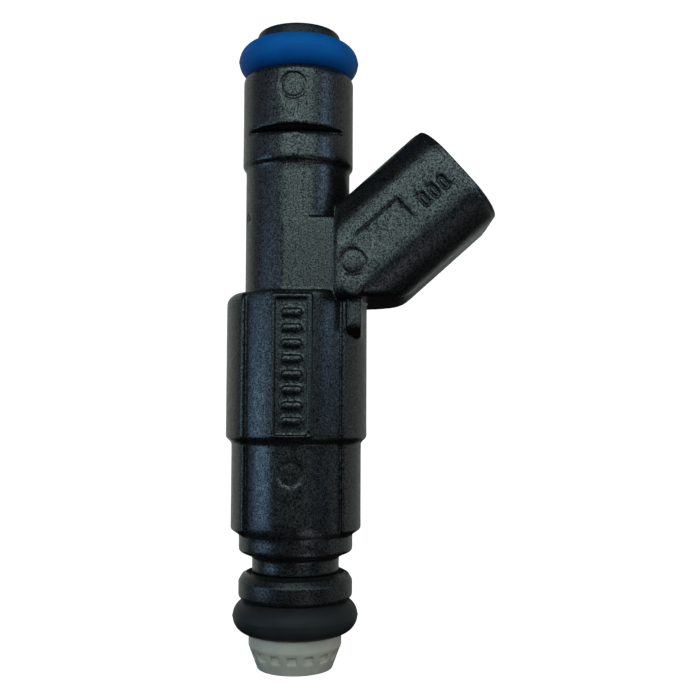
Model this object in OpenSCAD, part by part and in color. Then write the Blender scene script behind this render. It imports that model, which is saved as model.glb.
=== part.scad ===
// Top-feed port fuel injector: moulded sheath, slanted two-pin connector, solenoid, ball valve.
// The valve axis is Z, the origin is the middle of the lower seal ring, and the connector
// leans towards +X.

/* [Seal rings] */
// Outer radius of the lower seal ring, at its narrow land
lower_seal_r = 7.46; // [7.2:0.02:7.6]
// Outer radius of the upper seal ring, at its narrow land
upper_seal_r = 7.3; // [7.1:0.02:7.5]
// Height of the middle of the upper seal ring
upper_seal_z = 66.5; // [66.4:0.05:66.7]
// Length of the narrow land around each ring
seal_land = 0.8; // [0.4:0.1:1]

/* [Sheath] */
// Radius of the wide body around the coil, over its side pads
body_r = 8.43; // [8.3:0.01:8.6]
// Radius of the lower body, over its side pads
lower_body_r = 7.76; // [7.6:0.01:7.9]
// How far the front and back lie inside the side pads
pad_step = 0.6; // [0.3:0.05:0.8]
// Half width of the sunk front and back
pad_edge_x = 5.6; // [5:0.1:6]
// Top of the wide body
body_top_z = 37.95; // [37.7:0.05:38.2]
// Bottom of the wide body
body_bottom_z = 20.3; // [20:0.05:20.6]
// Bottom of the lower body
lower_body_z = 10.2; // [10:0.05:10.4]
// Radius of the long neck
neck_r = 6.27; // [6.1:0.01:6.4]
// Radius of the collar under the upper seal ring
collar_r = 6.66; // [6.5:0.01:6.8]
// Bottom of the collar
collar_z = 53.4; // [53:0.05:53.6]
// Top of the collar
collar_top_z = 64.5; // [64.4:0.05:64.55]
// Middle height of the two clip slots
slot_z = 56.85; // [56.5:0.05:57.2]
// Height of a clip slot
slot_h = 0.9; // [0.7:0.05:1]
// Distance of a slot's flat floor from the axis
slot_floor_y = 3.7; // [3.6:0.05:4]

/* [Connector] */
// Tilt of the connector above the horizontal
plug_tilt = 42; // [41:0.5:43]
// Height where the connector's axis meets the valve axis
plug_z = 34.65; // [34.5:0.05:34.8]
// Length from the valve axis to the connector's mouth
plug_len = 25.55; // [25.3:0.05:25.7]
// Half height of the connector shroud
plug_h = 6.75; // [6.65:0.05:6.85]
// Half width of the connector shroud
plug_w = 9; // [8.8:0.05:9.2]
// Corner radius of the shroud's section
plug_corner_r = 4.6; // [4:0.1:5]
// Wall of the shroud
plug_wall = 1.5; // [1.3:0.05:1.6]
// Depth of the socket
socket_depth = 12; // [11:0.5:12]
// Distance of each contact blade from the middle
blade_y = 3; // [3:0.05:3.2]
// Width of a contact blade
blade_w = 1.5; // [1.4:0.05:1.5]
// Thickness of a contact blade
blade_t = 0.8; // [0.6:0.05:0.8]

/* [Valve] */
// Outer radius of the valve tube, where the lower seal ring sits
tube_r = 3.86; // [3.82:0.01:3.9]
// Bore of the valve tube
tube_bore_r = 3.1; // [3.05:0.01:3.15]
// Radius of the valve ball
ball_r = 2; // [1.9:0.02:2]
// Height of the ball's centre when the valve is shut
ball_z = -2; // [-2.05:0.01:-1.95]
// Outer radius of the armature's guide land
armature_r = 3.04; // [3:0.01:3.04]
// Height of the armature's upper face when the valve is shut
armature_top_z = 27.2; // [27.1:0.05:27.3]
// Gap from the armature to the pole when the valve is shut
pole_gap = 0.09; // [0.09:0.01:0.12]

/* [Hidden] */
$fn = 72;
big = 60;
slack = 0.01;

// Sheath below the bodies
nose_z = 5.1;
nose_neck_r = 5.14;
nose_neck_z = 6.9;
foot_ring_r = 6.75;
foot_ring_z = 7.5;
foot_ring_round = 0.25;
body_chamfer = 0.7;
body_chamfer_h = 0.7;
pad_round = 1.3;
front_round = 0.4;
foot_chamfer_z = 9.5;
collar_round = 0.75;
collar_chamfer = 0.4;
root_bottom_z = 37.05;
root_left_x = 4.8;
root_round = 0.6;
web_top_z = 46.6;
web_half_y = 6.2;
gusset_x = 6.1;
gusset_w = 1.75;
gusset_top_z = 37.4;
gusset_front_z = 33.6;
gusset_z = 32.6;
gusset_y = 6.9;
gusset_foot_y = 4.7;
panel_w = 4.5;
panel_z = 21.35;
panel_h = 16.1;
panel_wall = 0.55;
panel_proud = 0.35;

// Seal rings and what holds them
upper_section_r = 2;
lower_section_r = 2;
inlet_r = 3.76;
backup_r = 6.76;
backup_z = 2.02;
backup_edge_z = 4.05;
backup_chamfer = 0.5;
backup_round = 0.9;
cap_top_z = -2.02;
cap_r = 5.5;
cap_cone_z = -3.4;
cap_bottom_z = -6.15;
cap_bottom_r = 4.47;
cap_chamfer = 0.15;
cap_mouth_r = 2.6;
cap_window_w = 1.1;
cap_window_h = 0.9;
cap_window_z = -4.75;
cap_windows = 16;
flange_z = 68.52;
flange_top_z = 69.95;
flange_r = 5.05;
flange_chamfer = 0.4;

// Tubes and solenoid
tube_bottom_z = -5.6;
ring_z = 26;
ring_top_z = 28.4;
pole_top_z = 36.9;
stem_r = 3.3;
stem_top_z = 62.5;
pole_bore_r = 1.7;
filter_bore_r = 2.75;
filter_bore_z = 53;
bobbin_z = 22;
bobbin_top_z = 35;
bobbin_flange = 1;
bobbin_core_r = 4.5;
bobbin_r = 6.4;
winding_r = 6.15;
bracket_r = 7.55;
bracket_t = 1.1;
bracket_z = 20.75;
bracket_top_z = 36.3;
bracket_y = 4.3;
bracket_arm_y = 2;
blade_foot_x = 4.7;
blade_tip = 21;

// Valve parts
seat_bottom_z = -4.9;
seat_top_z = 1.2;
plate_t = 0.25;
seat_gap = 0.02;
outlet_r = 0.7;
guide_gap = 0.05;
guide_chamfer = 0.4;
needle_r = 1.5;
needle_bore_r = 1.05;
needle_top_z = 24;
cross_hole_r = 0.5;
cross_hole_heights = [4, 18];
armature_z = 21.2;
armature_waist_r = 2.9;
guide_land = 1.5;
shoulder_z = 24.6;
spray_hole_r = 0.15;
spray_circle_r = 0.45;
spray_holes = 4;
ball_flats = 5;
ball_flat_r = 1.78;
ball_flat_h = 1.8;

// Return spring
spring_r = 1.22;
wire_r = 0.28;
spring_top_z = 33;
closed_turns = 1;
open_turns = 6;
ring_steps = 16;
wire_sides = 8;

// Filter
frame_bore_r = 2;
frame_r = 2.4;
frame_bottom_z = 53.6;
rib_z = 54.6;
rib_top_z = 63.5;
mesh_r = 1.9;
mesh_t = 0.15;
ribs = 4;
rib_w = 0.8;
press_ring_z = 64;
press_ring_top_z = 67.4;
sleeve_top_z = 42;
sleeve_bore_r = 1.1;
sleeve_slit = 0.4;

// Points of an arc, as [x, y] pairs
function arc(x, y, r, from, to, n = 6) =
    [for (i = [0:n]) [x + r * cos(from + (to - from) * i / n), y + r * sin(from + (to - from) * i / n)]];

// Corner points of a rectangle with round corners, centred on the origin
function round_rect(a, b, r, n = 8) = concat(
    arc(a - r, b - r, r, 0, 90, n),
    arc(r - a, b - r, r, 90, 180, n),
    arc(r - a, r - b, r, 180, 270, n),
    arc(a - r, r - b, r, 270, 360, n)
);

// A turned solid from an outline of [radius, height] points
module turned(outline) {
    rotate_extrude() polygon(outline);
}

// A tube between two heights
module tube(outer, inner, from, to) {
    translate([0, 0, from]) difference() {
        cylinder(r = outer, h = to - from);
        translate([0, 0, -1]) cylinder(r = inner, h = to - from + 2);
    }
}

// Puts a shape drawn along +Z onto the connector's axis
module on_plug_axis() {
    translate([0, 0, plug_z]) rotate([0, 90 - plug_tilt, 0]) children();
}

// The turned sheath at a radius, from the wide body down to the foot ring
module bodies(wide, lower, top_round) {
    turned(concat(
        [[0, foot_chamfer_z], [foot_ring_r - slack, foot_chamfer_z],
         [lower, lower_body_z], [lower, body_bottom_z],
         [wide - body_chamfer, body_bottom_z], [wide, body_bottom_z + body_chamfer_h]],
        arc(wide - top_round, body_top_z - top_round, top_round, 0, 90),
        [[0, body_top_z]]
    ));
}

// Side pads that cover the coil's steel brackets
module side_pads() {
    difference() {
        bodies(body_r, lower_body_r, pad_round);
        translate([-pad_edge_x, -big / 2, 0]) cube([2 * pad_edge_x, big, big]);
    }
}

// Foot ring and short nose under the bodies
module nose() {
    turned([
        [0, nose_z], [nose_neck_r, nose_z], [nose_neck_r, nose_neck_z],
        [foot_ring_r - foot_ring_round, foot_ring_z], [foot_ring_r, foot_ring_z + foot_ring_round],
        [foot_ring_r, foot_chamfer_z + slack], [0, foot_chamfer_z + slack]
    ]);
}

// Long neck with the collar and its two clip slots
module neck_and_collar() {
    difference() {
        turned(concat(
            [[0, body_top_z - 1], [neck_r, body_top_z - 1], [neck_r, collar_z - collar_chamfer],
             [collar_r, collar_z]],
            arc(collar_r - collar_round, collar_top_z - collar_round, collar_round, 0, 90),
            [[0, collar_top_z]]
        ));
        for (side = [-1, 1])
            translate([-big / 2, side > 0 ? slot_floor_y : -slot_floor_y - big, slot_z - slot_h / 2])
                cube([big, big, slot_h]);
    }
}

// Outside of the slanted connector, cut off level underneath and upright at its root
module plug_block() {
    corner_z = root_bottom_z + root_round - plug_z;
    corner_x = (plug_h - root_round + corner_z * cos(plug_tilt)) / sin(plug_tilt);
    intersection() {
        on_plug_axis() linear_extrude(plug_len) polygon(round_rect(plug_h, plug_w, plug_corner_r));
        rotate([90, 0, 0]) translate([0, 0, -big / 2]) linear_extrude(big) polygon(concat(
            [[root_left_x, root_bottom_z]],
            arc(corner_x, root_bottom_z + root_round, root_round, 270, 270 + plug_tilt),
            [[3 * big, corner_x + 3 * big * tan(plug_tilt)], [root_left_x, 4 * big]]
        ));
    }
}

// Web that joins the neck to the connector's root, and the gusset under it
module web_and_gusset() {
    translate([0, -web_half_y, body_top_z - 1])
        cube([root_left_x + 0.5, 2 * web_half_y, web_top_z - body_top_z + 1]);
    translate([gusset_x, 0, 0]) rotate([90, 0, 90]) linear_extrude(gusset_w) polygon([
        [-gusset_foot_y, gusset_z], [gusset_foot_y, gusset_z], [gusset_y, gusset_front_z],
        [gusset_y, gusset_top_z], [-gusset_y, gusset_top_z], [-gusset_y, gusset_front_z]
    ]);
}

// Raised frame of the blank marking panel on the front
module panel() {
    front = body_r - pad_step + panel_proud;
    difference() {
        translate([-panel_w / 2, -front, panel_z]) cube([panel_w, 2, panel_h]);
        translate([panel_wall - panel_w / 2, -front - 1, panel_z + panel_wall])
            cube([panel_w - 2 * panel_wall, 1 + panel_proud, panel_h - 2 * panel_wall]);
    }
}

module plug_socket() {
    on_plug_axis() translate([0, 0, plug_len - socket_depth]) linear_extrude(socket_depth + 1)
        polygon(round_rect(plug_h - plug_wall, plug_w - plug_wall, plug_corner_r - plug_wall));
}

// Space that the solenoid and the tubes fill inside the sheath
module solenoid_space() {
    turned([
        [0, nose_z - 1], [tube_r, nose_z - 1], [tube_r, bobbin_z], [bobbin_r, bobbin_z],
        [bobbin_r, bobbin_top_z], [tube_r, bobbin_top_z], [tube_r, pole_top_z], [stem_r, pole_top_z],
        [stem_r, stem_top_z], [inlet_r, stem_top_z], [inlet_r, big + 20], [0, big + 20]
    ]);
}

module overmold_body() {
    color("#23282b") difference() {
        union() {
            bodies(body_r - pad_step, lower_body_r - pad_step, front_round);
            side_pads();
            nose();
            neck_and_collar();
            plug_block();
            web_and_gusset();
            panel();
        }
        solenoid_space();
        plug_socket();
        for (side = [-1, 1]) {
            bracket_blank(side);
            terminal(side * blade_y);
        }
    }
}

module inlet_tube() {
    pole_z = armature_top_z + pole_gap;
    color("#9aa0a4") turned([
        [pole_bore_r, pole_z], [tube_bore_r, pole_z], [tube_bore_r, ring_top_z], [tube_r, ring_top_z],
        [tube_r, pole_top_z], [stem_r, pole_top_z], [stem_r, stem_top_z], [inlet_r, stem_top_z],
        [inlet_r, flange_z], [filter_bore_r, flange_z], [filter_bore_r, filter_bore_z],
        [pole_bore_r, filter_bore_z - 1]
    ]);
}

module nonmagnetic_ring() {
    color("#b8a878") tube(tube_r, tube_bore_r, ring_z, ring_top_z);
}

module valve_body_tube() {
    color("#8d9397") tube(tube_r, tube_bore_r, tube_bottom_z, ring_z);
}

module valve_seat() {
    // The seat is a 45 degree cone that the ball touches, below a close guide bore
    apex_z = ball_z - seat_gap - ball_r * sqrt(2);
    guide_r = ball_r + guide_gap;
    color("#7f868b") turned([
        [outlet_r, seat_bottom_z], [tube_bore_r, seat_bottom_z], [tube_bore_r, seat_top_z],
        [guide_r + guide_chamfer, seat_top_z], [guide_r, seat_top_z - guide_chamfer],
        [guide_r, apex_z + guide_r],
        [outlet_r, apex_z + outlet_r]
    ]);
}

module spray_plate() {
    color("#c2c6c8") difference() {
        translate([0, 0, seat_bottom_z - plate_t]) cylinder(r = tube_bore_r, h = plate_t);
        for (i = [0:spray_holes - 1])
            rotate([0, 0, (i + 0.5) * 360 / spray_holes]) translate([spray_circle_r, 0, seat_bottom_z - 1])
                cylinder(r = spray_hole_r, h = 2, $fn = 16);
    }
}

module armature() {
    color("#767c80") turned([
        [needle_r, armature_z], [armature_waist_r, armature_z],
        [armature_waist_r, armature_top_z - 2 * guide_land],
        [armature_r, armature_top_z - 2 * guide_land], [armature_r, armature_top_z - guide_land],
        [armature_waist_r, armature_top_z - guide_land], [armature_waist_r, armature_top_z],
        [pole_bore_r, armature_top_z], [pole_bore_r, shoulder_z], [needle_bore_r, shoulder_z],
        [needle_bore_r, needle_top_z], [needle_r, needle_top_z]
    ]);
}

module needle_tube() {
    color("#a7acaf") difference() {
        tube(needle_r, needle_bore_r, ball_z + ball_r / 2, needle_top_z);
        translate([0, 0, ball_z]) sphere(r = ball_r);
        for (height = cross_hole_heights)
            translate([0, 0, height]) rotate([90, 0, 0])
                cylinder(r = cross_hole_r, h = 2 * ball_r, center = true, $fn = 24);
    }
}

module valve_ball() {
    color("#d4d7d9") difference() {
        translate([0, 0, ball_z]) sphere(r = ball_r);
        for (i = [0:ball_flats - 1])
            rotate([0, 0, i * 360 / ball_flats])
                translate([ball_flat_r, -ball_r, ball_z - ball_flat_h / 2])
                    cube([ball_r, 2 * ball_r, ball_flat_h]);
    }
}

// Height of the spring wire's centre after a number of turns, closed at both ends
function wire_z(turn) =
    let (
        low = shoulder_z + wire_r,
        pitch = (spring_top_z - wire_r - low - 4 * closed_turns * wire_r) / open_turns,
        lower_turns = min(turn, closed_turns),
        middle_turns = min(max(turn - closed_turns, 0), open_turns),
        upper_turns = max(turn - closed_turns - open_turns, 0)
    )
    low + 2 * wire_r * (lower_turns + upper_turns) + pitch * middle_turns;

module return_spring() {
    steps = ring_steps * (2 * closed_turns + open_turns);
    points = [
        for (i = [0:steps], j = [0:wire_sides - 1])
            let (
                turn = i / ring_steps,
                a = 360 * turn,
                b = 360 * j / wire_sides,
                r = spring_r + wire_r * cos(b)
            )
            [r * cos(a), r * sin(a), wire_z(turn) + wire_r * sin(b)]
    ];
    sides = [
        for (i = [0:steps - 1], j = [0:wire_sides - 1])
            let (k = (j + 1) % wire_sides, here = i * wire_sides, next = here + wire_sides)
            [here + j, here + k, next + k, next + j]
    ];
    ends = [
        [for (j = [wire_sides - 1:-1:0]) j],
        [for (j = [0:wire_sides - 1]) steps * wire_sides + j]
    ];
    color("#c9ccce") polyhedron(points, concat(sides, ends));
}

module adjusting_sleeve() {
    color("#b0b4b7") difference() {
        tube(pole_bore_r, sleeve_bore_r, spring_top_z, sleeve_top_z);
        translate([0, -sleeve_slit / 2, spring_top_z - 1])
            cube([pole_bore_r + 1, sleeve_slit, sleeve_top_z - spring_top_z + 2]);
    }
}

module coil_bobbin() {
    color("#3a3f44") turned([
        [tube_r, bobbin_z], [bobbin_r, bobbin_z], [bobbin_r, bobbin_z + bobbin_flange],
        [bobbin_core_r, bobbin_z + bobbin_flange], [bobbin_core_r, bobbin_top_z - bobbin_flange],
        [bobbin_r, bobbin_top_z - bobbin_flange], [bobbin_r, bobbin_top_z], [tube_r, bobbin_top_z]
    ]);
}

module coil_winding() {
    color("#b5652a") tube(winding_r, bobbin_core_r, bobbin_z + bobbin_flange, bobbin_top_z - bobbin_flange);
}

// One C-shaped bracket: a curved wall beside the coil with an arm to the tube at each end
module bracket_blank(side) {
    intersection() {
        union() {
            tube(bracket_r, bracket_r - bracket_t, bracket_z, bracket_top_z);
            tube(bracket_r - slack, tube_r, bracket_z, bracket_z + bracket_t);
            intersection() {
                tube(bracket_r - slack, tube_r, bracket_top_z - bracket_t, bracket_top_z);
                translate([-big / 2, -bracket_arm_y, 0]) cube([big, 2 * bracket_arm_y, big]);
            }
        }
        translate([side > 0 ? tube_r - 1 : 1 - tube_r - big, -bracket_y, 0]) cube([big, 2 * bracket_y, big]);
    }
}

module flux_bracket_left() {
    color("#868c90") bracket_blank(-1);
}

module flux_bracket_right() {
    color("#868c90") bracket_blank(1);
}

// A contact blade: upright foot on the bobbin, then along the connector's axis
module terminal(y) {
    half = blade_t / 2;
    step = half * tan(45 - plug_tilt / 2);
    bend_z = plug_z + blade_foot_x * tan(plug_tilt);
    reach = blade_tip - blade_foot_x / cos(plug_tilt);
    along = [cos(plug_tilt), sin(plug_tilt)];
    across = half * [-sin(plug_tilt), cos(plug_tilt)];
    end = [blade_foot_x, bend_z] + reach * along;
    translate([0, y + blade_w / 2, 0]) rotate([90, 0, 0]) linear_extrude(blade_w) polygon([
        [blade_foot_x - half, bobbin_top_z], [blade_foot_x + half, bobbin_top_z],
        [blade_foot_x + half, bend_z - step], end - across,
        end + across, [blade_foot_x - half, bend_z + step]
    ]);
}

module terminal_front() {
    color("#c8c6b8") terminal(-blade_y);
}

module terminal_back() {
    color("#c8c6b8") terminal(blade_y);
}

module filter_frame() {
    color("#1b1d1f") {
        turned([
            [frame_bore_r, rib_top_z], [frame_r, rib_top_z], [frame_r, flange_z], [flange_r, flange_z],
            [flange_r, flange_top_z - flange_chamfer], [flange_r - flange_chamfer, flange_top_z],
            [frame_bore_r + flange_chamfer, flange_top_z], [frame_bore_r, flange_top_z - flange_chamfer]
        ]);
        translate([0, 0, frame_bottom_z]) cylinder(r = frame_r, h = rib_z - frame_bottom_z);
        for (i = [0:ribs - 1])
            rotate([0, 0, i * 360 / ribs]) intersection() {
                tube(frame_r, mesh_r, rib_z - slack, rib_top_z + slack);
                translate([0, -rib_w / 2, 0]) cube([big, rib_w, 2 * big]);
            }
    }
}

module filter_mesh() {
    color("#d9dcd2") tube(mesh_r, mesh_r - mesh_t, rib_z, rib_top_z);
}

module filter_ring() {
    color("#c79a4b") tube(filter_bore_r, frame_r, press_ring_z, press_ring_top_z);
}

// A seal ring with a narrow cylindrical land around its outside
module seal_ring(outer, section_r, inner) {
    sagitta = section_r - sqrt(section_r * section_r - seal_land * seal_land / 4);
    rotate_extrude() intersection() {
        translate([outer + sagitta - section_r, 0]) circle(r = section_r);
        translate([inner, -section_r]) square([outer - inner, 2 * section_r]);
    }
}

module upper_seal_ring() {
    color("#0d4f93") translate([0, 0, upper_seal_z]) seal_ring(upper_seal_r, upper_section_r, inlet_r);
}

module lower_seal_ring() {
    color("#1c1f20") seal_ring(lower_seal_r, lower_section_r, tube_r);
}

module backup_ring() {
    color("#26292b") turned([
        [tube_r, backup_z], [backup_r - backup_chamfer, backup_z], [backup_r, backup_z + backup_chamfer],
        [backup_r, backup_edge_z], [backup_r - backup_round / 2, nose_z - backup_round / 3],
        [backup_r - backup_round, nose_z], [tube_r, nose_z]
    ]);
}

module tip_cap() {
    color("#767d72") difference() {
        turned([
            [cap_mouth_r, cap_bottom_z], [cap_bottom_r - cap_chamfer, cap_bottom_z],
            [cap_bottom_r, cap_bottom_z + cap_chamfer], [cap_r, cap_cone_z], [cap_r, cap_top_z],
            [tube_r, cap_top_z], [tube_r, tube_bottom_z], [cap_mouth_r, tube_bottom_z]
        ]);
        for (i = [0:cap_windows - 1])
            rotate([0, 0, i * 360 / cap_windows])
                translate([cap_bottom_r, -cap_window_w / 2, cap_window_z])
                    cube([cap_r, cap_window_w, cap_window_h]);
    }
}

overmold_body();
inlet_tube();
nonmagnetic_ring();
valve_body_tube();
valve_seat();
spray_plate();
armature();
needle_tube();
valve_ball();
return_spring();
adjusting_sleeve();
coil_bobbin();
coil_winding();
flux_bracket_left();
flux_bracket_right();
terminal_front();
terminal_back();
filter_frame();
filter_mesh();
filter_ring();
upper_seal_ring();
lower_seal_ring();
backup_ring();
tip_cap();
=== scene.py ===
import math

import bpy
import numpy as np
import openvdb
from mathutils import Matrix, Vector

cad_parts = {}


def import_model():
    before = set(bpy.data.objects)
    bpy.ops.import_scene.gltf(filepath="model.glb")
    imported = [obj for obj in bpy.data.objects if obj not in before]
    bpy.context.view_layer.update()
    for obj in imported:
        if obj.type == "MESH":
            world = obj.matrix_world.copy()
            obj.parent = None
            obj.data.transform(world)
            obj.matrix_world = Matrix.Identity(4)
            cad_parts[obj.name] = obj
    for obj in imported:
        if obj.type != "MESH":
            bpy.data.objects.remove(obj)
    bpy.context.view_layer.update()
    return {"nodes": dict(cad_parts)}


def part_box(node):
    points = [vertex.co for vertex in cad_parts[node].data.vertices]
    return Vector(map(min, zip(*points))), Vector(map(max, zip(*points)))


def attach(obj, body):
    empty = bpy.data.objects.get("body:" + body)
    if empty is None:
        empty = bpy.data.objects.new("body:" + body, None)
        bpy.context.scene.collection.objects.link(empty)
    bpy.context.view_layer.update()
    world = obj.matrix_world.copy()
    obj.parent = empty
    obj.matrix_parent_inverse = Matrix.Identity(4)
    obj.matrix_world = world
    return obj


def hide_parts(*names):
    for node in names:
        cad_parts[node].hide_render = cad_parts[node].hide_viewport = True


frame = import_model()

# Sizes are in millimetres up to the moment a mesh is made; the scene itself is in metres.
MM = 0.001
STEP = 0.12  # spacing of the distance grid that the sheath is carved in
FINE_STEP = 0.07  # the same for the small moulded pieces
BELOW_AXIS = -3.0  # radius where a solid turned shape's outline closes, past the axis


def box_mm(node):
    """Lowest and highest corner of a CAD node, in millimetres."""
    low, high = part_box(node)
    return np.array(low) / MM, np.array(high) / MM


# ---------------------------------------------------------------- sizes taken from the frame
SHEATH_LOW, SHEATH_HIGH = box_mm("overmold_body")
UPPER_LOW, UPPER_HIGH = box_mm("upper_seal_ring")
LOWER_LOW, LOWER_HIGH = box_mm("lower_seal_ring")
BACKUP_LOW, BACKUP_HIGH = box_mm("backup_ring")
CAP_LOW, CAP_HIGH = box_mm("tip_cap")
TUBE_LOW, TUBE_HIGH = box_mm("valve_body_tube")
FILTER_LOW, FILTER_HIGH = box_mm("filter_frame")
BOBBIN_LOW, BOBBIN_HIGH = box_mm("coil_bobbin")

# the sheath's bodies, each a turned core with a pad on both sides
BODY_R = -SHEATH_LOW[0]
LOWER_BODY_R = BODY_R - 0.67
PAD_STEP, PAD_EDGE_X = 0.6, 5.6
PAD_TOP_ROUND, CORE_TOP_ROUND = 1.3, 0.4
BODY_CHAMFER = 0.7
FRONT_R = BODY_R - PAD_STEP
LOWER_FRONT_R = LOWER_BODY_R - PAD_STEP
LOWER_BODY_Z, BODY_Z, BODY_TOP_Z = 10.2, 20.3, 37.95
NOSE_R, NOSE_Z, NOSE_NECK_Z = 5.17, SHEATH_LOW[2], 6.9
FOOT_R, FOOT_LOW_Z, FOOT_Z = 6.77, 7.75, 9.5
NECK_R, COLLAR_R, COLLAR_Z = 6.27, 6.66, 53.4
COLLAR_TOP_Z, COLLAR_ROUND = SHEATH_HIGH[2], 0.75
SLOT_Z, SLOT_H, SLOT_FLOOR_Y = 56.85, 0.9, 3.7

# the connector, its web to the neck and the gusset below it
PLUG_TILT = math.radians(42)
PLUG_Z, PLUG_LEN = 34.65, 25.55
PLUG_H, PLUG_W, PLUG_CORNER_R, PLUG_WALL = 6.75, SHEATH_HIGH[1], 4.6, 1.5
SOCKET_DEPTH = 12.0
ROOT_X, ROOT_Z = 4.8, 37.05
WEB_X, WEB_HALF_W, WEB_TOP_Z = -1.5, 6.24, 46.6
GUSSET_NEAR_X, GUSSET_FAR_X, GUSSET_HALF_W = 6.1, 7.85, 6.9
GUSSET_LOW_Z, GUSSET_TOP_Z = 32.6, 37.4

# the spaces inside the sheath
TUBE_R = TUBE_HIGH[0]
POLE_Z, POLE_R = 36.9, 3.3
FILTER_POCKET_Z, FILTER_POCKET_R = 62.5, 3.76
BRACKET_LOW_Z, BRACKET_TOP_Z, BRACKET_R, BRACKET_T = 20.75, 36.3, 7.55, 1.1
BRACKET_ARM_IN_R, BRACKET_ARM_R = 3.0, 7.0
BRACKET_HALF_W, BRACKET_TOP_HALF_W, BRACKET_IN_X = 4.3, 2.0, 2.86


# ---------------------------------------------------------------- carving with distances
def outline_distance(outline, a, b):
    """Signed distance from points (a, b) to a closed outline, negative inside."""
    a, b = np.broadcast_arrays(a, b)
    nearest = np.full(a.shape, np.inf)
    inside = np.zeros(a.shape, bool)
    for (x0, y0), (x1, y1) in zip(outline, outline[1:] + outline[:1]):
        dx, dy = x1 - x0, y1 - y0
        along = np.clip(((a - x0) * dx + (b - y0) * dy) / (dx * dx + dy * dy), 0, 1)
        nearest = np.minimum(nearest, (a - x0 - along * dx) ** 2 + (b - y0 - along * dy) ** 2)
        if dy:
            inside ^= ((y0 > b) != (y1 > b)) & (a < x0 + (b - y0) * dx / dy)
    return np.where(inside, -1, 1) * np.sqrt(nearest)


def arc(x, y, r, start, end, n=10):
    """Points of an arc from one angle to another, in degrees."""
    return [
        (x + r * math.cos(math.radians(start + (end - start) * i / n)),
         y + r * math.sin(math.radians(start + (end - start) * i / n)))
        for i in range(n + 1)
    ]


def soft_min(a, b, rounding):
    """The smaller of two distances, with the corner where they cross rounded over."""
    if not rounding:
        return np.minimum(a, b)
    h = np.maximum(rounding - np.abs(a - b), 0) / rounding
    return np.minimum(a, b) - h * h * rounding / 4


def soft_max(a, b, rounding):
    """The larger of two distances, rounded over in the same way."""
    return -soft_min(-a, -b, rounding)


class Clay:
    """A block of signed distances, negative inside, that shapes are joined to and cut from."""

    RADIUS_STEP = 0.04
    FAR = 9.0

    def __init__(self, low, high, step):
        self.step = step
        self.axes = [np.arange(a, b, step, dtype=np.float32) for a, b in zip(low, high)]
        self.d = np.full([len(a) for a in self.axes], self.FAR, np.float32)

    def window(self, low, high):
        """The same clay, seen only inside a box, for small work on it."""
        part = Clay.__new__(Clay)
        cuts = [slice(*np.searchsorted(a, (l, h))) for a, l, h in zip(self.axes, low, high)]
        part.step, part.d = self.step, self.d[tuple(cuts)]
        part.axes = [a[c] for a, c in zip(self.axes, cuts)]
        return part

    @property
    def xyz(self):
        x, y, z = self.axes
        return x[:, None, None], y[None, :, None], z[None, None, :]

    def join(self, d, rounding=0.0):
        """Adds a shape, given as the distances to it."""
        self.d[...] = soft_min(self.d, d.astype(np.float32), rounding)

    def cut(self, d, rounding=0.0):
        """Takes a shape away."""
        self.d[...] = soft_max(self.d, -d.astype(np.float32), rounding)

    def turned(self, outline):
        """Distance to a solid turned about the Z axis from an outline of (radius, height) points."""
        x, y, z = self.xyz
        radius = np.sqrt(x * x + y * y)[:, :, 0]
        table_r = np.arange(0, radius.max() + 3 * self.RADIUS_STEP, self.RADIUS_STEP)
        table = outline_distance(outline, table_r[:, None], self.axes[2][None, :].astype(float))
        table = table.astype(np.float32)
        place = radius / self.RADIUS_STEP
        low = place.astype(int)
        share = (place - low)[:, :, None]
        return table[low] * (1 - share) + table[low + 1] * share

    def plug(self):
        """Places along the connector's axis, up across it, and sideways."""
        x, y, z = self.xyz
        along = x * math.cos(PLUG_TILT) + (z - PLUG_Z) * math.sin(PLUG_TILT)
        up = (z - PLUG_Z) * math.cos(PLUG_TILT) - x * math.sin(PLUG_TILT)
        return along, up, y

    def blur(self):
        """Rounds every edge and inside corner over about one step of the grid."""
        np.clip(self.d, -4 * self.step, 4 * self.step, out=self.d)
        for axis in range(3):
            d = np.moveaxis(self.d, axis, 0)
            d[1:-1] = (d[:-2] + 2 * d[1:-1] + d[2:]) / 4

    def sample(self, points):
        """Distance and gradient at points, by linear interpolation."""
        place = (points - [a[0] for a in self.axes]) / self.step
        low = np.clip(place.astype(int), 0, np.array(self.d.shape) - 2)
        f = place - low
        value, gradient = np.zeros(len(points)), np.zeros((len(points), 3))
        for corner in np.ndindex(2, 2, 2):
            at = self.d[tuple((low + corner).T)]
            w = [f[:, i] if c else 1 - f[:, i] for i, c in enumerate(corner)]
            value += at * w[0] * w[1] * w[2]
            for i in range(3):
                j, k = (i + 1) % 3, (i + 2) % 3
                gradient[:, i] += at * (1 if corner[i] else -1) * w[j] * w[k] / self.step
        return value, gradient

    def mesh(self, name, adaptivity):
        """A mesh of the surface, pulled onto the true zero distance; adaptivity merges flat faces."""
        grid = openvdb.FloatGrid(float(self.d.max()))
        grid.copyFromArray(self.d)
        points, triangles, quads = grid.convertToPolygons(0.0, adaptivity)
        points = points * self.step + np.array([a[0] for a in self.axes])
        least_slope = 0.2  # keeps the pull short where the distances are nearly flat
        for _ in range(3):
            value, gradient = self.sample(points)
            points -= gradient * (value / np.maximum((gradient ** 2).sum(1), least_slope))[:, None]
        made = bpy.data.meshes.new(name)
        made.from_pydata((points * MM).tolist(), [], triangles.tolist() + quads.tolist())
        made.update()
        made.polygons.foreach_set("use_smooth", [True] * len(made.polygons))
        return made


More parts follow.
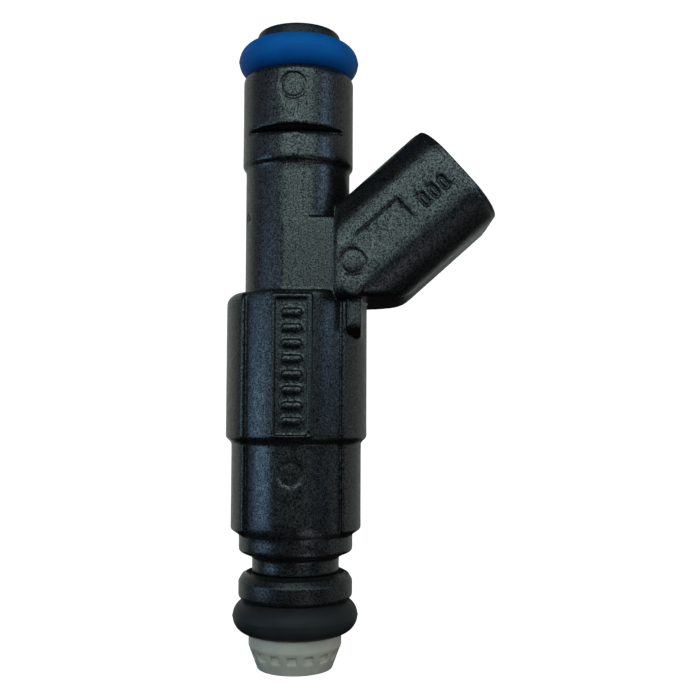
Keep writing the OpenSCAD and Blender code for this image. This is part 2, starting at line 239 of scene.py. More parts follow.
def round_rect(a, b, half_a, half_b, r):
    """Distance to a rectangle with round corners, centred on the origin."""
    qa, qb = np.abs(a) - (half_a - r), np.abs(b) - (half_b - r)
    outside = np.sqrt(np.maximum(qa, 0) ** 2 + np.maximum(qb, 0) ** 2)
    return outside + np.minimum(np.maximum(qa, qb), 0) - r


def slab(a, low, high):
    """Distance to the space between two planes."""
    return np.abs(a - (low + high) / 2) - (high - low) / 2


def disc(a, b, r):
    """Distance to a disc centred on the origin."""
    return np.sqrt(a ** 2 + b ** 2) - r


def ring_outline(inner, outer, low, high):
    """The outline of a plain ring between two radii and two heights."""
    return [(inner, low), (outer, low), (outer, high), (inner, high)]


def piece(name, mesh, body, slot, *nodes):
    """Puts a mesh in the scene, riding on a body and standing for CAD nodes."""
    made = bpy.data.objects.new(name, mesh)
    bpy.context.scene.collection.objects.link(made)
    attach(made, body)
    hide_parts(*nodes)
    return made


# ---------------------------------------------------------------- sheath
def bodies_outline(wide, lower, top_round):
    """Lower body and wide body as one turned outline."""
    foot_r = FOOT_R - 0.02
    return (
        [(BELOW_AXIS, FOOT_Z), (foot_r, FOOT_Z), (lower, LOWER_BODY_Z), (lower, BODY_Z),
         (wide - BODY_CHAMFER, BODY_Z), (wide, BODY_Z + BODY_CHAMFER)]
        + arc(wide - top_round, BODY_TOP_Z - top_round, top_round, 0, 90)
        + [(BELOW_AXIS, BODY_TOP_Z)]
    )


def plug_outside(clay):
    """The connector's outside: a round-cornered bar with a groove behind a small lip at the mouth."""
    along, up, side = clay.plug()
    skin, lip, lip_inset = 0.02, 0.45, 0.08
    groove_start, groove_end, groove_depth = 0.58, 0.34, 0.16
    bar = round_rect(up, side, PLUG_H - skin, PLUG_W - skin, PLUG_CORNER_R)
    groove = slab(along, PLUG_LEN - groove_start, PLUG_LEN - groove_end)
    bar = np.maximum(np.where(along > PLUG_LEN - lip, bar + lip_inset, bar),
                     -np.maximum(groove, -bar - groove_depth))
    return soft_max(bar, along - PLUG_LEN, rounding=0.1)


def add_main_forms(clay):
    """The two bodies with their side pads, the nose and foot ring below, and the neck with its collar."""
    clay.join(clay.turned(bodies_outline(FRONT_R, LOWER_FRONT_R, CORE_TOP_ROUND)))
    x, y, z = clay.xyz
    pads = clay.turned(bodies_outline(BODY_R, LOWER_BODY_R, PAD_TOP_ROUND))
    clay.join(soft_max(pads, PAD_EDGE_X - np.abs(x), rounding=0.3))
    overlap, foot_chamfer, foot_chamfer_h, collar_chamfer = 0.1, 0.22, 0.25, 0.4
    clay.join(clay.turned([
        (BELOW_AXIS, NOSE_Z), (NOSE_R, NOSE_Z), (NOSE_R, NOSE_NECK_Z),
        (FOOT_R - foot_chamfer, FOOT_LOW_Z - foot_chamfer_h), (FOOT_R, FOOT_LOW_Z),
        (FOOT_R, FOOT_Z + overlap), (BELOW_AXIS, FOOT_Z + overlap),
    ]))
    neck = clay.turned(
        [(BELOW_AXIS, BODY_TOP_Z - 1), (NECK_R, BODY_TOP_Z - 1), (NECK_R, COLLAR_Z - collar_chamfer),
         (COLLAR_R, COLLAR_Z)]
        + arc(COLLAR_R - COLLAR_ROUND, COLLAR_TOP_Z - COLLAR_ROUND, COLLAR_ROUND, 0, 90)
        + [(BELOW_AXIS, COLLAR_TOP_Z)]
    )
    clay.join(neck, rounding=0.2)


def add_plug(clay):
    """The connector, the web that ties it to the neck, and the gusset below it."""
    x, y, z = clay.xyz
    block = soft_max(plug_outside(clay), ROOT_X - x, rounding=0.25)
    block = soft_max(block, ROOT_Z - z, rounding=0.9)
    clay.join(block, rounding=0.3)
    overlap = 0.5
    web = np.maximum(slab(x, WEB_X, ROOT_X + overlap), np.abs(y) - WEB_HALF_W)
    web = soft_max(web, slab(z, BODY_TOP_Z - 1, WEB_TOP_Z), rounding=0.2)
    clay.join(web, rounding=0.15)
    flat_half_w, rise, rise_cosine = 4.7, 0.4545, 0.91
    underside = (GUSSET_LOW_Z + rise * np.maximum(np.abs(y) - flat_half_w, 0) - z) * rise_cosine
    gusset = soft_max(slab(x, GUSSET_NEAR_X, GUSSET_FAR_X), np.abs(y) - GUSSET_HALF_W, rounding=0.35)
    gusset = soft_max(soft_max(gusset, z - GUSSET_TOP_Z, rounding=0.3), underside, rounding=0.3)
    clay.join(gusset, rounding=0.15)


def cut_tube_space(clay):
    """The turned space for the tubes, the coil and the filter's flange."""
    past = 2
    clay.cut(clay.turned([
        (BELOW_AXIS, NOSE_Z - past), (TUBE_R, NOSE_Z - past), (TUBE_R, BOBBIN_LOW[2]),
        (BOBBIN_HIGH[0], BOBBIN_LOW[2]), (BOBBIN_HIGH[0], BOBBIN_HIGH[2]), (TUBE_R, BOBBIN_HIGH[2]),
        (TUBE_R, POLE_Z), (POLE_R, POLE_Z), (POLE_R, FILTER_POCKET_Z), (FILTER_POCKET_R, FILTER_POCKET_Z),
        (FILTER_POCKET_R, COLLAR_TOP_Z + past), (BELOW_AXIS, COLLAR_TOP_Z + past),
    ]))


def cut_bracket_space(clay):
    """The spaces for the two steel brackets: a wall beside the coil with an arm at each end."""
    x, y, z = clay.xyz
    wall = clay.turned(ring_outline(BRACKET_R - BRACKET_T, BRACKET_R, BRACKET_LOW_Z, BRACKET_TOP_Z))
    arms = clay.turned(ring_outline(
        BRACKET_ARM_IN_R, BRACKET_ARM_R, BRACKET_LOW_Z, BRACKET_LOW_Z + BRACKET_T))
    top_arms = clay.turned(ring_outline(
        BRACKET_ARM_IN_R, BRACKET_ARM_R, BRACKET_TOP_Z - BRACKET_T, BRACKET_TOP_Z))
    bracket = np.minimum(np.minimum(wall, arms), np.maximum(top_arms, np.abs(y) - BRACKET_TOP_HALF_W))
    clay.cut(np.maximum(np.maximum(bracket, np.abs(y) - BRACKET_HALF_W), BRACKET_IN_X - np.abs(x)))


def cut_clip_slots(clay):
    """The slots for the rail clip, front and back, tapering to a point at both ends."""
    x, y, z = clay.xyz
    half_chord = math.sqrt(COLLAR_R ** 2 - SLOT_FLOOR_Y ** 2)
    gape = SLOT_H / 2 * np.sqrt(np.maximum(1 - (x / half_chord) ** 2, 0))
    clay.cut(np.maximum(np.abs(z - SLOT_Z) - gape, SLOT_FLOOR_Y - np.abs(y)), rounding=0.1)


def cut_socket(clay):
    """The space inside the connector, with the same wall all round."""
    along, up, side = clay.plug()
    inner = round_rect(up, side, PLUG_H - PLUG_WALL, PLUG_W - PLUG_WALL, PLUG_CORNER_R - PLUG_WALL)
    clay.cut(soft_max(inner, PLUG_LEN - SOCKET_DEPTH - along, rounding=0.6), rounding=0.35)


# ---------------------------------------------------------------- marks on the sheath
def sink(clay, shape, front, depth):
    """Cuts a flat-floored recess of a given shape, seen along Y, into a surface that faces -Y."""
    y = clay.xyz[1]
    clay.cut(np.maximum(shape, slab(y, -front - 2, -front + depth)), rounding=0.04)


def raise_up(clay, shape, front, height, rounding=0.05):
    """The same for a raised, flat-topped shape."""
    y = clay.xyz[1]
    clay.join(np.maximum(shape, slab(y, -front - height, -front + 2)), rounding)


def pin_mark(clay, a, b, r, surface, depth, rim_depth):
    """A round ejector pin mark, a shallow disc in a groove; surface is the distance to what it is in."""
    x, y, z = clay.xyz
    rim = 0.26
    inside = disc(x - a, z - b, r)
    clay.cut(np.maximum(inside, -depth - surface), rounding=0.04)
    clay.cut(np.maximum(np.abs(inside) - rim / 2, -rim_depth - surface), rounding=0.03)


def add_panel(clay):
    """The framed panel on the front, with plain bars in place of figures and a sloping lower edge."""
    panel = clay.window((-4, -9.5, 20), (4, -6, 39))
    x, y, z = panel.xyz
    frame_z, frame_half_w, frame_half_h, frame_height = 29.3, 2.3, 8.15, 0.33
    field_x, field_z, field_half_w, field_half_h = -0.1, 29.15, 1.82, 7.75
    field = round_rect(x - field_x, z - field_z, field_half_w, field_half_h, 0.2)
    border = np.maximum(round_rect(x, z - frame_z, frame_half_w, frame_half_h, 0.3), -field)
    raise_up(panel, border, FRONT_R, frame_height, rounding=0.04)
    lip_z, lip_half_w, lip_half_h, slope, slope_z = 21.4, 2.1, 0.3, math.radians(24), 21.12
    lip = round_rect(x, z - lip_z, lip_half_w, lip_half_h, 0.0)
    before_slope = (y + FRONT_R + frame_height) * math.cos(slope) - (z - slope_z) * math.sin(slope)
    panel.cut(np.maximum(lip, before_slope))
    sink(panel, field, FRONT_R - 0.02, 0.08)
    count, bar_z, bar_pitch, bar_half_w, bar_half_h = 8, 23.0, 1.76, 1.15, 0.42
    bars = [round_rect(x, z - (bar_z + bar_pitch * i), bar_half_w, bar_half_h, 0.4) for i in range(count)]
    raise_up(panel, np.minimum.reduce(bars), FRONT_R, 0.2, rounding=0.04)


def add_front_pin_marks(clay):
    """One ejector pin mark on the collar and one on the lower body."""
    mark_x, depth, reach = -0.15, 0.05, 3
    for mark_z, r, around, rim_depth in ((61.8, 1.42, COLLAR_R, 0.17), (17.0, 1.3, LOWER_FRONT_R, 0.11)):
        spot = clay.window((-reach, -9, mark_z - reach), (reach, -5, mark_z + reach))
        x, y, z = spot.xyz
        pin_mark(spot, mark_x, mark_z, r, disc(x, y, around), depth, rim_depth)


def add_root_marks(clay):
    """At the connector's root: a blank raised disc, a pin mark over it and the stub of the moulding gate."""
    root = clay.window((4.5, -9.8, 36), (10, -7.5, 47))
    x, y, z = root.xyz
    mark_x, mark_z, mark_r = 6.9, 40.85, 1.35
    disc_z, disc_r, disc_height = 38.37, 1.3, 0.11
    gate_x, gate_z, gate_r, gate_height = 8.08, 42.96, 0.26, 0.25
    raise_up(root, disc(x - mark_x, z - disc_z, disc_r), PLUG_W, disc_height)
    pin_mark(root, mark_x, mark_z, mark_r, -PLUG_W - y, 0.04, 0.17)
    raise_up(root, disc(x - gate_x, z - gate_z, gate_r), PLUG_W, gate_height)


def add_label(clay):
    """The patch on the connector, deepest at its far top corner, and three plain recesses past it."""
    label = clay.window((4.5, -9.8, 38), (20, -7.5, 56))
    along, up, side = label.plug()
    patch_at, patch_up, patch_half_l, patch_half_h = 14.45, 0.03, 3.35, 2.1
    patch = round_rect(along - patch_at, up - patch_up, patch_half_l, patch_half_h, 0.05)
    depth = 0.19 * np.clip((along - 9.5) / 3, 0, 1) * np.clip((up + 2.0) / 2, 0, 1)
    label.cut(np.maximum(patch, slab(side, -PLUG_W - 2, -PLUG_W + depth)), rounding=0.02)
    count, first, pitch, half_w, half_h = 3, 19.9, 1.45, 0.46, 0.92
    shape = np.minimum.reduce(
        [round_rect(along - (first + pitch * i), up + 0.08, half_w, half_h, 0.42) for i in range(count)])
    sink(label, shape, PLUG_W, 0.28)
    wall, core_drop, core_height = 0.26, 0.3, 0.24
    raise_up(label, shape + wall, PLUG_W - core_drop, core_height, rounding=0.02)


def add_side_mark(clay):
    """A small round nick on the neck's left side."""
    spot = clay.window((-6.8, -4, 45), (-4, 0, 49))
    x, y, z = spot.xyz
    nick_y, nick_z, nick_r, line, depth = -2.6, 46.9, 0.45, 0.2, 0.2
    circle = disc(y - nick_y, z - nick_z, nick_r)
    spot.cut(np.maximum(np.abs(circle) - line / 2, -depth - disc(x, y, NECK_R)), rounding=0.04)


def sheath():
    """The moulded sheath in one piece: main forms, then marks, then everything cut from inside."""
    margin = 0.6
    clay = Clay(SHEATH_LOW - margin, SHEATH_HIGH + margin, STEP)
    add_main_forms(clay)
    add_plug(clay)
    clay.blur()
    add_panel(clay)
    add_front_pin_marks(clay)
    add_root_marks(clay)
    add_label(clay)
    add_side_mark(clay)
    cut_tube_space(clay)
    cut_bracket_space(clay)
    cut_clip_slots(clay)
    cut_socket(clay)
    clay.blur()
    return piece("sheath", clay.mesh("sheath", 0.03), "injector", "sheath_plastic", "overmold_body")


# ---------------------------------------------------------------- turned pieces
def lathe(name, outline, steps=256):
    """A mesh turned about Z from a closed outline of (radius, height) points, in millimetres."""
    angles = [2 * math.pi * i / steps for i in range(steps)]
    points = [(r * math.cos(a) * MM, r * math.sin(a) * MM, z * MM) for a in angles for r, z in outline]
    n = len(outline)
    faces = [
        (i * n + j, ((i + 1) % steps) * n + j, ((i + 1) % steps) * n + (j + 1) % n, i * n + (j + 1) % n)
        for i in range(steps) for j in range(n)
    ]
    made = bpy.data.meshes.new(name)
    made.from_pydata(points, [], faces)
    made.update()
    made.polygons.foreach_set("use_smooth", [True] * len(made.polygons))
    return made


def seal_ring(name, low, high, slot, node):
    """A rubber ring with the fine moulding ridge round its outside, flat where it grips the tube."""
    flash, flash_width, grip, sides = 0.05, 0.05, 0.05, 72
    middle, section = (low[2] + high[2]) / 2, (high[2] - low[2]) / 2 - 0.01
    centre = high[0] - section - flash
    outline = []
    for i in range(sides):
        a = 2 * math.pi * i / sides
        ridge = flash * math.exp(-((math.sin(a) / flash_width) ** 2))
        outline.append((max(centre + (section + ridge) * math.cos(a), TUBE_R - grip),
                        middle + (section + ridge) * math.sin(a)))
    return piece(name, lathe(name, outline), "injector", slot, node)


def rounded(points, radii, n=5):
    """A closed outline whose corners are rounded, each by its own radius."""
    made = []
    for i, (p, r) in enumerate(zip(points, radii)):
        p, before, after = Vector(p), Vector(points[i - 1]), Vector(points[(i + 1) % len(points)])
        if not r:
            made.append(tuple(p))
            continue
        a, b = (before - p).normalized(), (after - p).normalized()
        half = a.angle(b) / 2
        reach = r / math.tan(half)
        start, end = p + a * reach, p + b * reach
        centre = p + (a + b).normalized() * (r / math.sin(half))
        u, v = start - centre, end - centre
        for k in range(n + 1):
            made.append(tuple(centre + (u * (1 - k / n) + v * (k / n)).normalized() * r))
    return made


def backup_ring():
    """The ring over the lower seal, its top rounded off in two steps."""
    r, low, high = BACKUP_HIGH[0], BACKUP_LOW[2], BACKUP_HIGH[2]
    edge_z, shoulder_in, shoulder_drop, top_in = 4.1, 0.42, 0.28, 0.95
    outline = rounded(
        [(TUBE_R, low), (r, low), (r, edge_z), (r - shoulder_in, high - shoulder_drop), (r - top_in, high),
         (TUBE_R, high)],
        [0, 0.55, 0.5, 0.3, 0.15, 0],
    )
    made = lathe("backup_ring_detail", outline)
    return piece("backup_ring_detail", made, "injector", "backup_plastic", "backup_ring")


def tip_cap():
    """Thin natural nylon cap with a row of small windows round its cone."""
    margin, past = 0.4, 2
    clay = Clay(CAP_LOW - margin, CAP_HIGH + margin, FINE_STEP)
    low, high, r = CAP_LOW[2], CAP_HIGH[2], CAP_HIGH[0]
    bottom_r, cone_z, mouth_r = 4.45, -3.4, 2.6
    clay.join(clay.turned([(BELOW_AXIS, low), (bottom_r, low), (r, cone_z), (r, high), (BELOW_AXIS, high)]))
    clay.cut(clay.turned([
        (BELOW_AXIS, low - past), (mouth_r, low - past), (mouth_r, TUBE_LOW[2]), (TUBE_R, TUBE_LOW[2]),
        (TUBE_R, high + past), (BELOW_AXIS, high + past),
    ]))
    x, y, z = clay.xyz
    windows, window_z, window_half_w, window_half_h, window_floor = 16, -4.3, 0.5, 0.42, 4.78
    for i in range(windows):
        a = 2 * math.pi * i / windows
        out, across = x * math.cos(a) + y * math.sin(a), y * math.cos(a) - x * math.sin(a)
        window = round_rect(across, z - window_z, window_half_w, window_half_h, 0.1)
        clay.cut(np.maximum(window, window_floor - out), rounding=0.15)
    clay.blur()
    made = clay.mesh("tip_cap_detail", 0.02)
    return piece("tip_cap_detail", made, "injector", "cap_plastic", "tip_cap")


# ---------------------------------------------------------------- contacts, spring, winding and filter
def swept(name, sections):
    """A closed mesh through rings of points, all with the same number of points, in millimetres."""
    n = len(sections[0])
    points = [tuple(c * MM for c in p) for ring in sections for p in ring]
    faces = [(i * n + j, i * n + (j + 1) % n, (i + 1) * n + (j + 1) % n, (i + 1) * n + j)
             for i in range(len(sections) - 1) for j in range(n)]
    last = (len(sections) - 1) * n
    faces += [tuple(range(n))[::-1], tuple(range(last, last + n))]
    made = bpy.data.meshes.new(name)
    made.from_pydata(points, [], faces)
    made.update()
    return made


def blade(side, node):
    """A contact blade: upright foot, bend, and a flat that narrows at its tip."""
    foot_x, foot_y, tip, half_t, half_w, edge = 4.7, 3.0, 21.0, 0.39, 0.74, 0.1
    tilt = Vector((math.cos(PLUG_TILT), 0, math.sin(PLUG_TILT)))
    up, middle = Vector((0, 0, 1)), foot_y * side
    bend = Vector((foot_x, middle, PLUG_Z + foot_x * math.tan(PLUG_TILT)))
    reach = tip - foot_x / math.cos(PLUG_TILT)
    half_way = (up + tilt).normalized()
    stretch = 1 / half_way.dot(up)
    stations = [(Vector((foot_x, middle, BOBBIN_HIGH[2])), up, 1, 1, 1)]
    stations += [(bend, half_way, stretch, 1, 1)]
    narrowing = ((1.3, 1, 1), (0.5, 0.75, 0.92), (0.12, 0.5, 0.8), (0, 0.3, 0.7))
    stations += [(bend + tilt * (reach - back), tilt, 1, thick, wide) for back, thick, wide in narrowing]
    sections = []
    for place, ahead, grow, thick, wide in stations:
        across = Vector((-ahead.z, 0, ahead.x))
        t, w = half_t * grow * thick, half_w * wide
        corners = [(t, w - edge), (t - edge * thick, w), (edge * thick - t, w), (-t, w - edge),
                   (-t, edge - w), (edge * thick - t, -w), (t - edge * thick, -w), (t, edge - w)]
        sections.append([tuple(place + across * a + Vector((0, b, 0))) for a, b in corners])
    name = node + "_blade"
    return piece(name, swept(name, sections), "injector", "contact_metal", node)


def spring():
    """The closing spring, with a closed turn at each end; its foot clears the armature at full lift."""
    low, high = box_mm("return_spring")
    wire, turns, steps, sides = 0.275, 8, 48, 14
    inset, lift_room = 0.28, 0.085
    r = (high[0] - low[0]) / 2 - inset
    start, end = low[2] + inset + lift_room, high[2] - inset
    pitch = (end - start - 4 * wire) / (turns - 2)
    sections = []
    for i in range(turns * steps + 1):
        turn = i / steps
        closed_turns = min(turn, 1) + max(turn - turns + 1, 0)
        z = start + 2 * wire * closed_turns + pitch * min(max(turn - 1, 0), turns - 2)
        a = 2 * math.pi * turn
        ring = []
        for j in range(sides):
            b = 2 * math.pi * j / sides
            out = r + wire * math.cos(b)
            ring.append((out * math.cos(a), out * math.sin(a), z + wire * math.sin(b)))
        sections.append(ring)
    made = swept("spring_wire", sections)
    made.polygons.foreach_set("use_smooth", [True] * len(made.polygons))
    return piece("spring_wire", made, "injector", "spring_steel", "return_spring")


def winding():
    """The outer layer of the coil, turn by turn."""
    low, high = box_mm("coil_winding")
    turns, inner, root_angle, sides = 40, 4.5, 0.25, 96
    wire = (high[2] - low[2]) / turns / 2
    outline = [(inner, low[2])]
    for i in range(turns):
        z = low[2] + 2 * wire * i
        outline += [(high[0] - wire + wire * math.sin(b), z + wire * (1 - math.cos(b)))
                    for b in np.linspace(root_angle, math.pi - root_angle, 5)]
    outline += [(inner, high[2])]
    made = lathe("winding_turns", outline, sides)
    return piece("winding_turns", made, "injector", "winding_wire", "coil_winding")


def filter_basket():
    """The filter's moulded top flange, its ribs and closed foot."""
    low, high = FILTER_LOW, FILTER_HIGH
    margin = 0.3
    clay = Clay(low - margin, high + margin, FINE_STEP)
    x, y, z = clay.xyz
    flange, barrel, bore, rib_half_w = high[0], 2.4, 2.0, 0.4
    barrel_z, flange_z, foot_z, cage_z = 63.5, 68.52, 54.6, 54.2
    chamfer, chamfer_h, flange_round, foot_chamfer = 0.1, 0.13, 0.5, 0.3
    dish_r, dish_floor_r, dish_depth = 3.4, 3.2, 0.25
    top, floor = high[2], high[2] - dish_depth
    clay.join(clay.turned(
        [(BELOW_AXIS, barrel_z), (barrel, barrel_z), (barrel, flange_z), (flange - chamfer, flange_z),
         (flange, flange_z + chamfer_h)]
        + arc(flange - flange_round, top - flange_round, flange_round, 0, 90, 6)
        + [(dish_r, top), (dish_floor_r, floor), (BELOW_AXIS, floor)]))
    clay.cut(clay.turned([
        (BELOW_AXIS, barrel_z - 3.5), (bore, barrel_z - 3.5), (bore, top - 0.6), (bore + 0.6, top + 1),
        (BELOW_AXIS, top + 5),
    ]))
    ribs = np.minimum(np.abs(x), np.abs(y)) - rib_half_w
    cage = clay.turned(ring_outline(bore - 0.05, barrel, cage_z, barrel_z + 0.5))
    clay.join(np.maximum(ribs, cage))
    clay.join(clay.turned([
        (BELOW_AXIS, low[2]), (barrel - foot_chamfer, low[2]), (barrel, low[2] + foot_chamfer),
        (barrel, foot_z), (BELOW_AXIS, foot_z),
    ]))
    clay.blur()
    made = clay.mesh("filter_basket", 0.02)
    return piece("filter_basket", made, "injector", "filter_plastic", "filter_frame")


# ---------------------------------------------------------------- materials
def shader(name, color, roughness, **sockets):
    """A material, its node tree and its shader, with the shader's sockets set."""
    made = bpy.data.materials.new(name)
    made.use_nodes = True
    bsdf = made.node_tree.nodes["Principled BSDF"]
    bsdf.inputs["Base Color"].default_value = (*color, 1)
    bsdf.inputs["Roughness"].default_value = roughness
    for key, value in sockets.items():
        bsdf.inputs[key.replace("_", " ")].default_value = value
    return made, made.node_tree, bsdf


def add_node(tree, kind, links=(), **values):
    """Adds a node, sets its sockets and properties, and links [(socket, output)] into it."""
    made = tree.nodes.new(kind)
    for key, value in values.items():
        name = key.replace("_", " ")
        if name in made.inputs:
            made.inputs[name].default_value = value
        else:
            setattr(made, key, value)
    for socket, output in links:
        tree.links.new(output, made.inputs[socket])
    return made


def noise(tree, scale, detail, rough):
    """Noise in the piece's own space."""
    place = tree.nodes.get("place") or add_node(tree, "ShaderNodeTexCoord", name="place")
    return add_node(tree, "ShaderNodeTexNoise", [("Vector", place.outputs["Object"])],
                    Scale=scale, Detail=detail, Roughness=rough)


def spread(tree, factor, low, high, low_at=0.0, high_at=1.0):
    """A number between two values as a factor goes between two others."""
    made = add_node(tree, "ShaderNodeMapRange", [(0, factor)])
    for i, value in enumerate((low_at, high_at, low, high), 1):
        made.inputs[i].default_value = value
    return made.outputs[0]


def ramp(tree, factor, *stops):
    """A colour ramp through (place, colour) stops."""
    made = add_node(tree, "ShaderNodeValToRGB", [("Fac", factor)])
    elements = made.color_ramp.elements
    for i, (place, color) in enumerate(stops):
        e = elements[i] if i < 2 else elements.new(place)
        e.position, e.color = place, (*color, 1)
    return made.outputs["Color"]


def bump(tree, bsdf, *layers):
    """Stacks (height, strength, distance) layers of bump onto the shader."""
    normal = None
    for height, strength, distance in layers:
        links = [("Height", height)] + ([("Normal", normal)] if normal else [])
        layer = add_node(tree, "ShaderNodeBump", links, Strength=strength, Distance=distance)
        normal = layer.outputs["Normal"]
    tree.links.new(normal, bsdf.inputs["Normal"])


def moulded_plastic(name, dark, light, roughness, shine=0.85):
    """Glass-filled nylon: specks of more and less gloss, a faint orange peel and uneven colour."""
    made, tree, bsdf = shader(name, dark, roughness, Specular_IOR_Level=shine)
    relief, dull, glossy = 0.000012, (0.12,) * 3, (1.0,) * 3
    fine = noise(tree, 6400, 1, 0.5).outputs["Fac"]
    peel = noise(tree, 1100, 2, 0.5).outputs["Fac"]
    tree.links.new(ramp(tree, fine, (0.36, dark), (0.68, light)), bsdf.inputs["Base Color"])
    tree.links.new(ramp(tree, fine, (0.36, dull), (0.64, glossy)), bsdf.inputs["Specular Tint"])
    rough = spread(tree, peel, roughness + 0.05, roughness - 0.05, 0.35, 0.65)
    tree.links.new(rough, bsdf.inputs["Roughness"])
    bump(tree, bsdf, (peel, 1.0, relief), (fine, 1.0, relief))
    return made


def rubber(name, dark, light, roughness):
    """Moulded rubber: smooth sheen with a faint bloom."""
    made, tree, bsdf = shader(name, dark, roughness, Specular_IOR_Level=0.1)
    cloud = noise(tree, 420, 4, 0.6).outputs["Fac"]
    fine = noise(tree, 7000, 2, 0.5).outputs["Fac"]
    tree.links.new(ramp(tree, cloud, (0.3, dark), (0.8, light)), bsdf.inputs["Base Color"])
    rough = spread(tree, cloud, roughness - 0.05, roughness + 0.08, 0.3, 0.7)
    tree.links.new(rough, bsdf.inputs["Roughness"])
    bump(tree, bsdf, (fine, 0.15, 0.00004))
    return made


def natural_nylon(name, dark, light):
    """Unfilled nylon that lets a little light in."""
    made, tree, bsdf = shader(name, dark, 0.42, Subsurface_Weight=0.25, Subsurface_Scale=0.0012)
    cloud = noise(tree, 500, 3, 0.5).outputs["Fac"]
    fine = noise(tree, 8000, 2, 0.5).outputs["Fac"]
    tree.links.new(ramp(tree, cloud, (0.3, dark), (0.75, light)), bsdf.inputs["Base Color"])
    bump(tree, bsdf, (fine, 0.2, 0.00005))
    return made


def metal(name, dark, light, roughness, stretch=(1, 1, 12), grain=0.2):
    """Machined or drawn metal with fine lines across the stretch."""
    made, tree, bsdf = shader(name, light, roughness, Metallic=1.0)
    place = add_node(tree, "ShaderNodeTexCoord")
    scaled = add_node(tree, "ShaderNodeMapping", [("Vector", place.outputs["Object"])], Scale=stretch)
    lines = add_node(tree, "ShaderNodeTexNoise", [("Vector", scaled.outputs[0])], Scale=2500, Detail=3.0)
    fac = lines.outputs["Fac"]
    tree.links.new(ramp(tree, fac, (0.3, dark), (0.7, light)), bsdf.inputs["Base Color"])
    rough = spread(tree, fac, roughness - 0.06, roughness + 0.1, 0.3, 0.7)
    tree.links.new(rough, bsdf.inputs["Roughness"])
    bump(tree, bsdf, (fac, grain, 0.00002))
    return made


def dress(obj, material):
    """Gives an object its one material."""
    obj.data.materials.clear()
    obj.data.materials.append(material)


# ---------------------------------------------------------------- stage, lights and camera
def stage():
    """A seamless pale floor that curves up on all sides, seen by the camera and not by the object."""
    floor_z, flat_r, curve_r, steps = -0.3, 0.7, 0.3, 48
    rings = [(0.0, 0.0)]
    rings += [(flat_r + curve_r * math.sin(a), curve_r * (1 - math.cos(a)))
              for a in np.linspace(0, math.pi / 2, 12)]
    rings += [(1.0, 1.4), (0.9, 1.7), (0.0, 1.9)]
    points, faces, rows = [], [], []
    for r, z in rings:
        rows.append(range(len(points), len(points) + steps))
        for i in range(steps):
            a = 2 * math.pi * i / steps
            points.append((r * math.cos(a), r * math.sin(a), floor_z + z))
    for low, high in zip(rows, rows[1:]):
        faces += [(low[i], high[i], high[(i + 1) % steps], low[(i + 1) % steps]) for i in range(steps)]
    mesh = bpy.data.meshes.new("stage")
    mesh.from_pydata(points, [], faces)
    mesh.polygons.foreach_set("use_smooth", [True] * len(mesh.polygons))
    floor = bpy.data.objects.new("stage", mesh)
    bpy.context.scene.collection.objects.link(floor)
    white, _, bsdf = shader("stage_white", (0.9, 0.9, 0.9), 0.9)
    bsdf.inputs["Emission Color"].default_value = (1, 1, 1, 1)
    bsdf.inputs["Emission Strength"].default_value = 1.0
    dress(floor, white)
    floor.visible_diffuse = floor.visible_glossy = floor.visible_transmission = floor.visible_shadow = False


def softbox(name, azimuth, elevation, size, radiance, color):
    """A rectangular soft light; azimuth 0 is the reference camera's side, and radiance is its brightness."""
    reach, aim = 0.6, Vector((0, 0, 0.035))
    a, e = math.radians(azimuth), math.radians(elevation)
    away = Vector((math.sin(a) * math.cos(e), -math.cos(a) * math.cos(e), math.sin(e)))
    lamp = bpy.data.lights.new(name, "AREA")
    lamp.shape, lamp.size, lamp.size_y = "RECTANGLE", size[0], size[1]
    lamp.energy, lamp.color = radiance * math.pi * size[0] * size[1], color
    made = bpy.data.objects.new(name, lamp)
    bpy.context.scene.collection.objects.link(made)
    made.location = aim + away * reach
    made.rotation_euler = (-away).to_track_quat("-Z", "Y").to_euler()
    made.visible_camera = False


def camera():
    """The reference's close view: level with the wide body, pitched up a little and turned a degree."""
    turn, pitch, roll = math.radians(1.2), math.radians(3.16), math.radians(0.22)
    right, back, height = 6.4, 117, 25
    data = bpy.data.cameras.new("camera")
    data.lens, data.sensor_width = 49.9, 36
    data.clip_start, data.clip_end = 0.005, 10
    made = bpy.data.objects.new("camera", data)
    bpy.context.scene.collection.objects.link(made)
    place = Matrix.Translation((right * MM, -back * MM, height * MM))
    look = Matrix.Rotation(math.pi / 2 + pitch, 4, "X")
    made.matrix_world = Matrix.Rotation(turn, 4, "Z") @ place @ look @ Matrix.Rotation(roll, 4, "Z")
    bpy.context.scene.camera = made


def world(below, above):
    """Even light from above that falls off below the horizon."""
    made = bpy.data.worlds.new("world")
    made.use_nodes = True
    tree = made.node_tree
    direction = add_node(tree, "ShaderNodeTexCoord").outputs["Generated"]
    height = add_node(tree, "ShaderNodeSeparateXYZ", [("Vector", direction)]).outputs["Z"]
    strength = spread(tree, height, below, above, -0.35, 0.25)
    tree.links.new(strength, tree.nodes["Background"].inputs["Strength"])
    bpy.context.scene.world = made


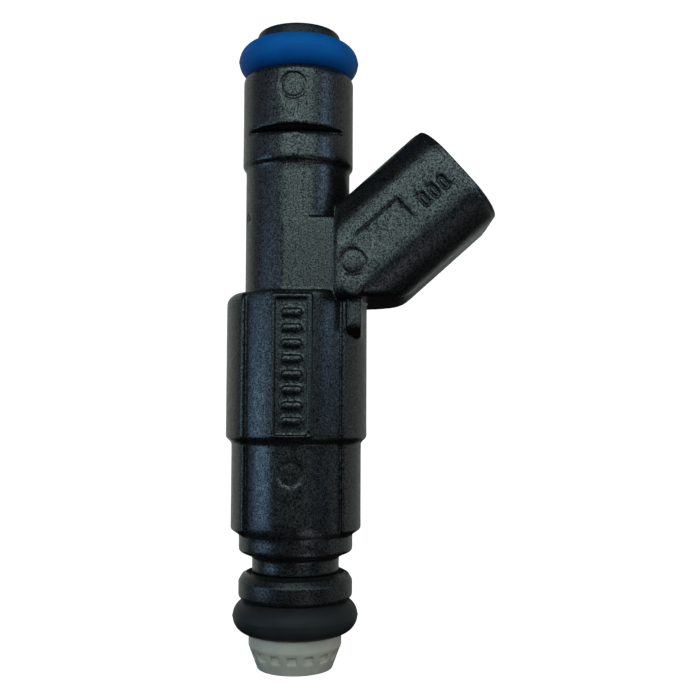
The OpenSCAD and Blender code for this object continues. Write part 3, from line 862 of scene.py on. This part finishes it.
# ---------------------------------------------------------------- build
SHEATH = moulded_plastic("sheath_nylon", (0.002, 0.0018, 0.0017), (0.016, 0.014, 0.013), 0.3)
BACKUP = moulded_plastic("backup_nylon", (0.003, 0.0026, 0.0025), (0.016, 0.014, 0.013), 0.34, 0.6)
FILTER = moulded_plastic("filter_nylon", (0.012, 0.013, 0.014), (0.02, 0.021, 0.023), 0.35, 0.3)
BOBBIN = moulded_plastic("bobbin_nylon", (0.03, 0.033, 0.036), (0.05, 0.053, 0.056), 0.5)
CAP = natural_nylon("cap_nylon", (0.4, 0.34, 0.27), (0.52, 0.44, 0.35))
BLUE = rubber("blue_rubber", (0.001, 0.085, 0.3), (0.002, 0.115, 0.38), 0.55)
BLACK = rubber("black_rubber", (0.017, 0.016, 0.0155), (0.026, 0.024, 0.023), 0.42)
STEEL = metal("turned_steel", (0.4, 0.41, 0.42), (0.62, 0.63, 0.64), 0.32)
BRIGHT = metal("bright_steel", (0.6, 0.61, 0.62), (0.8, 0.81, 0.82), 0.18)
BRASS = metal("brass", (0.55, 0.38, 0.14), (0.75, 0.55, 0.25), 0.28)
COPPER = metal("enamelled_copper", (0.4, 0.13, 0.05), (0.62, 0.24, 0.1), 0.3, (1, 1, 20), 0.6)
TINNED = metal("tinned_contact", (0.6, 0.59, 0.54), (0.78, 0.77, 0.72), 0.25, (12, 1, 1))

dress(sheath(), SHEATH)
dress(seal_ring("upper_seal_detail", UPPER_LOW, UPPER_HIGH, "blue_rubber", "upper_seal_ring"), BLUE)
dress(seal_ring("lower_seal_detail", LOWER_LOW, LOWER_HIGH, "black_rubber", "lower_seal_ring"), BLACK)
dress(backup_ring(), BACKUP)
dress(tip_cap(), CAP)
dress(blade(-1, "terminal_front"), TINNED)
dress(blade(1, "terminal_back"), TINNED)
dress(spring(), BRIGHT)
dress(winding(), COPPER)
dress(filter_basket(), FILTER)
for name, material in {
    "inlet_tube": STEEL, "nonmagnetic_ring": STEEL, "valve_body_tube": STEEL, "valve_seat": STEEL,
    "spray_plate": BRIGHT, "armature": STEEL, "needle_tube": STEEL, "valve_ball": BRIGHT,
    "adjusting_sleeve": STEEL, "coil_bobbin": BOBBIN, "flux_bracket_left": STEEL,
    "flux_bracket_right": STEEL, "filter_mesh": BRIGHT, "filter_ring": BRASS,
}.items():
    dress(frame["nodes"][name], material)

stage()
world(0.1, 0.24)
softbox("front_top", 3, 26.5, (0.8, 0.45), 2.25, (0.78, 1.06, 1.06))
softbox("left_window", -64, -5, (0.34, 0.2), 2.4, (0.5, 0.92, 1.35))
softbox("left_bridge", -48, 14, (0.17, 0.36), 0.6, (0.8, 0.98, 1.3))
softbox("left_haze", -76, 10, (0.56, 0.56), 0.2, (0.85, 1.0, 1.3))
softbox("right_window", 60, 14, (0.22, 0.24), 2.2, (0.6, 0.92, 1.3))
softbox("right_haze", 90, 0, (0.36, 0.7), 0.33, (0.95, 1.05, 1.05))
softbox("low_front", 25, -28, (0.22, 0.2), 1.0, (0.9, 1.0, 1.15))
softbox("low_right", 42, -38, (0.32, 0.28), 0.45, (0.95, 0.98, 1.15))
softbox("back_left", -137, 8, (0.7, 0.7), 0.47, (0.96, 1.05, 0.97))
softbox("back_right", 137, 8, (0.7, 0.7), 0.32, (0.96, 1.05, 0.97))
camera()
bpy.context.scene.view_settings.view_transform = "Standard"
